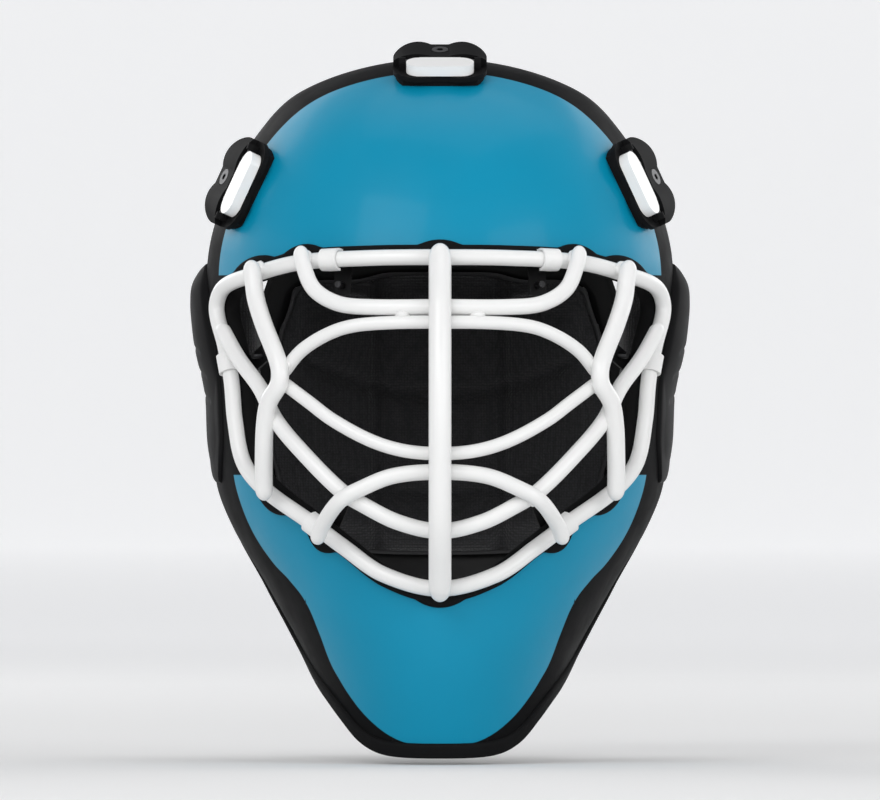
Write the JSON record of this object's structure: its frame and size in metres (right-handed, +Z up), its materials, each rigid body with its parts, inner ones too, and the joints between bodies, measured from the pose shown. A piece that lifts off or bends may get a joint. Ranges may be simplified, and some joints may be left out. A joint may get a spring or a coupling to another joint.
{
  "type": "goalie mask",
  "caption": "Goalie mask: moulded shell with a long chin, welded cat-eye wire cage, foam liner, three lever strap clips, elastic straps and a padded back plate.",
  "frame": {"origin": "middle of the head seat, on the mask's left-right midplane, level with the cage's middle", "axes": "+Z up to the crown, -Y out through the cage, +X to the right as seen from the front"},
  "size_m": [0.242, 0.299, 0.3436],
  "materials": {
    "shell_paint": "gloss paint, teal front over a black rear band",
    "rubber": "matte moulded rubber",
    "guard_plastic": "fine grained black moulding",
    "cage_coat": "white powder coat",
    "fastener_steel": "blackened zinc",
    "liner_foam": "knit covered foam",
    "sweatband_cloth": "terry cloth",
    "cup_leather": "soft grained leather",
    "clip_plastic": "black nylon",
    "lever_plastic": "white satin moulding",
    "backplate_plastic": "black polycarbonate",
    "webbing": "woven elastic webbing"
  },
  "bodies": {
    "mask": {"shell": "shell_paint", "rim_trim": "rubber", "port_gasket": "rubber", "side_guard_left": "guard_plastic", "side_guard_right": "guard_plastic", "cage_perimeter": "cage_coat", "cage_centre_bar": "cage_coat", "cage_side_bar_left": "cage_coat", "cage_side_bar_right": "cage_coat", "cage_brow_bar": "cage_coat", "cage_eye_bar_upper": "cage_coat", "cage_eye_bar_lower": "cage_coat", "cage_chin_bar": "cage_coat", "cage_mouth_arch": "cage_coat", "cage_clips": "clip_plastic", "cage_clip_screws": "fastener_steel", "forehead_pad": "liner_foam", "sweatband": "sweatband_cloth", "crown_pad": "liner_foam", "temple_pad_left": "liner_foam", "temple_pad_right": "liner_foam", "jaw_pad_left": "liner_foam", "jaw_pad_right": "liner_foam", "chin_pad": "liner_foam", "chin_cup_studs": "fastener_steel", "strap_clip_gaskets": "rubber", "strap_clip_bases": "clip_plastic", "strap_clip_screws": "fastener_steel", "strap_clip_pins": "fastener_steel", "strap_top": "webbing", "strap_upper_left": "webbing", "strap_upper_right": "webbing", "strap_lower_left": "webbing", "strap_lower_right": "webbing", "lower_strap_studs": "fastener_steel", "throat_guard_bracket": "clip_plastic", "throat_guard_rivets": "fastener_steel"},
    "backplate": {"backplate": "backplate_plastic", "backplate_pad": "liner_foam", "strap_keepers": "clip_plastic", "keeper_rivets": "fastener_steel"},
    "top_lever": {"lever_top": "lever_plastic"},
    "left_lever": {"lever_left": "lever_plastic"},
    "right_lever": {"lever_right": "lever_plastic"},
    "chin_sling": {"chin_cup": "cup_leather", "chin_cup_straps": "webbing", "chin_cup_eyelets": "clip_plastic"}
  },
  "joints": [
    {"name": "backplate_swing", "type": "hinge", "parent": "mask", "child": "backplate", "pos_m": [0, 0.0985, 0.1], "axis": [1, 0, 0], "range_deg": [0, 25], "stiffness_Nm_per_rad": 4, "deforming": ["strap_top", "strap_upper_left", "strap_upper_right", "strap_lower_left", "strap_lower_right"]},
    {"name": "top_lever_hinge", "type": "hinge", "parent": "mask", "child": "top_lever", "pos_m": [0, -0.05225, 0.16219], "axis": [-1, 0, 0], "range_deg": [0, 70]},
    {"name": "left_lever_hinge", "type": "hinge", "parent": "mask", "child": "left_lever", "pos_m": [-0.09781, -0.05339, 0.10462], "axis": [-0.4183, 0, -0.9083], "range_deg": [0, 70]},
    {"name": "right_lever_hinge", "type": "hinge", "parent": "mask", "child": "right_lever", "pos_m": [0.09781, -0.05339, 0.10462], "axis": [-0.4183, 0, 0.9083], "range_deg": [0, 70]},
    {"name": "chin_sling_swing", "type": "hinge", "parent": "mask", "child": "chin_sling", "pos_m": [0, -0.08, -0.095], "axis": [1, 0, 0], "range_deg": [-10, 25]}
  ]
}
